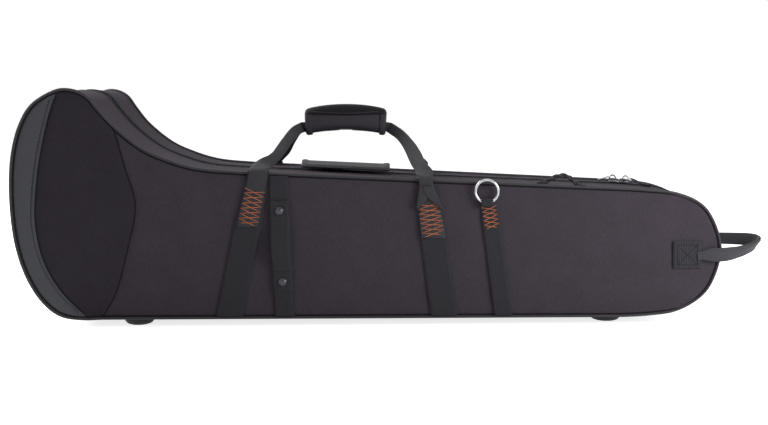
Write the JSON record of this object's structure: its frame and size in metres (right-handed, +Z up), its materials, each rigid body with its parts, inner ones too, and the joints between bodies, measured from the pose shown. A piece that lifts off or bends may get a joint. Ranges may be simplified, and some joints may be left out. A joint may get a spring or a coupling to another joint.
{
  "type": "trombone case",
  "caption": "Soft contoured case for a trombone, wide at the bell end and narrow at the tail, with a zipped lid, webbing handles and fitted cradles inside.",
  "frame": {"origin": "middle of the base, on the surface the feet stand on", "axes": "+X from the bell end to the tail, +Z up with the case on its long edge, the deep front shell towards -Y and the lid towards +Y"},
  "size_m": [0.9497, 0.2602, 0.2975],
  "materials": {
    "shell_fabric": "dark purple-grey woven nylon, matt",
    "bell_fabric": "darker woven nylon, matt",
    "guard_fabric": "grey coated nylon, slight sheen",
    "piping": "vinyl piping, semi-gloss",
    "webbing": "nylon webbing, matt",
    "zip_tape": "black woven zip tape and coil",
    "grip_leather": "padded soft grip, semi-matt",
    "holder_vinyl": "grey vinyl, semi-gloss",
    "metal": "bright plated steel",
    "slider_metal": "black lacquered die-cast zip sliders",
    "foot_rubber": "moulded black rubber",
    "frame_wood": "thin light plywood walls",
    "plush": "dark plush over foam",
    "box_board": "plush over thin board"
  },
  "bodies": {
    "front_shell": {"front_band_left": "webbing", "front_band_right": "webbing", "front_bell_cover": "bell_fabric", "front_bell_foot": "foot_rubber", "front_bell_guard": "guard_fabric", "front_board": "frame_wood", "front_body_cover": "shell_fabric", "front_frame": "frame_wood", "front_gusset_cover": "shell_fabric", "front_piping": "piping", "front_spine_hinge": "zip_tape", "front_tail_foot": "foot_rubber", "front_zip_tape": "zip_tape", "ring_keeper": "webbing", "ring_strap": "webbing", "snap_strap": "webbing", "snap_tab": "webbing", "snap_cap_low": "metal", "tail_patch": "webbing", "tail_loop": "webbing", "pull_loop": "webbing", "bell_cradle": "plush", "tail_cradle": "plush", "accessory_box": "box_board", "mouthpiece_block": "plush"},
    "lid_shell": {"lid_band_left": "webbing", "lid_band_right": "webbing", "lid_bell_cover": "bell_fabric", "lid_bell_foot": "foot_rubber", "lid_bell_guard": "guard_fabric", "lid_board": "frame_wood", "lid_body_cover": "shell_fabric", "lid_frame": "frame_wood", "lid_gusset_cover": "shell_fabric", "lid_piping": "piping", "lid_spine_hinge": "zip_tape", "lid_tail_foot": "foot_rubber", "lid_zip_tape": "zip_tape", "card_holder": "holder_vinyl", "slide_bed_1": "plush", "slide_bed_2": "plush"},
    "front_handle": {"front_handle_strap": "webbing", "grip_front": "grip_leather"},
    "rear_handle": {"lid_handle_strap": "webbing", "grip_rear": "grip_leather"},
    "carry_ring": {"ring": "metal"},
    "snap_loop": {"snap_loop": "webbing", "snap_cap_high": "metal"},
    "slider_a": {"slider_a": "slider_metal"},
    "slider_b": {"slider_b": "slider_metal"},
    "slider_a_tab": {"slider_a_tab": "metal"},
    "slider_b_toggle": {"slider_b_toggle": "zip_tape"},
    "accessory_lid": {"accessory_lid": "box_board"},
    "slide_strap_1": {"slide_strap_1": "webbing"},
    "slide_strap_2": {"slide_strap_2": "webbing"}
  },
  "joints": [
    {"name": "lid_hinge", "type": "hinge", "parent": "front_shell", "child": "lid_shell", "pos_m": [0, 0.0065, 0.0119], "axis": [-1, 0, 0], "range_deg": [0, 140]},
    {"name": "front_handle_swing", "type": "hinge", "parent": "front_shell", "child": "front_handle", "pos_m": [-0.17582, -0.10077, 0.19874], "axis": [0.9987, 0.0268, -0.0443], "range_deg": [0, 150]},
    {"name": "rear_handle_swing", "type": "hinge", "parent": "lid_shell", "child": "rear_handle", "pos_m": [-0.17582, 0.08187, 0.19874], "axis": [-0.9977, 0.0508, 0.0442], "range_deg": [0, 150]},
    {"name": "ring_swing", "type": "hinge", "parent": "front_shell", "child": "carry_ring", "pos_m": [0.11143, -0.10104, 0.15462], "axis": [1, 0, 0], "range_deg": [0, 165]},
    {"name": "snap_loop_fold", "type": "hinge", "parent": "front_shell", "child": "snap_loop", "pos_m": [-0.14518, -0.10795, 0.06785], "axis": [1, 0, 0], "range_deg": [0, 80]},
    {"name": "slider_a_run", "type": "slide", "parent": "front_shell", "child": "slider_a", "axis": [-0.999, 0, 0.0458], "range_m": [0, 0.26]},
    {"name": "slider_b_run", "type": "slide", "parent": "front_shell", "child": "slider_b", "axis": [0.999, 0, -0.0458], "range_m": [0, 0.012]},
    {"name": "tab_swing", "type": "hinge", "parent": "slider_a", "child": "slider_a_tab", "pos_m": [0.2843, 0.0065, 0.17973], "axis": [0, 1, 0], "range_deg": [0, 100]},
    {"name": "toggle_swing", "type": "hinge", "parent": "slider_b", "child": "slider_b_toggle", "pos_m": [0.31291, 0.0065, 0.17646], "axis": [-0.9272, -0.3746, 0], "range_deg": [0, 90]},
    {"name": "accessory_lid_hinge", "type": "hinge", "parent": "front_shell", "child": "accessory_lid", "pos_m": [-0.0722, -0.0037, 0.075], "axis": [1, 0, 0], "range_deg": [0, 100]},
    {"name": "slide_strap_1_fold", "type": "hinge", "parent": "lid_shell", "child": "slide_strap_1", "pos_m": [-0.2181, 0.0516, 0.0516], "axis": [1, 0, 0], "range_deg": [0, 90]},
    {"name": "slide_strap_2_fold", "type": "hinge", "parent": "lid_shell", "child": "slide_strap_2", "pos_m": [0.2118, 0.03, 0.0516], "axis": [1, 0, 0], "range_deg": [0, 90]}
  ]
}
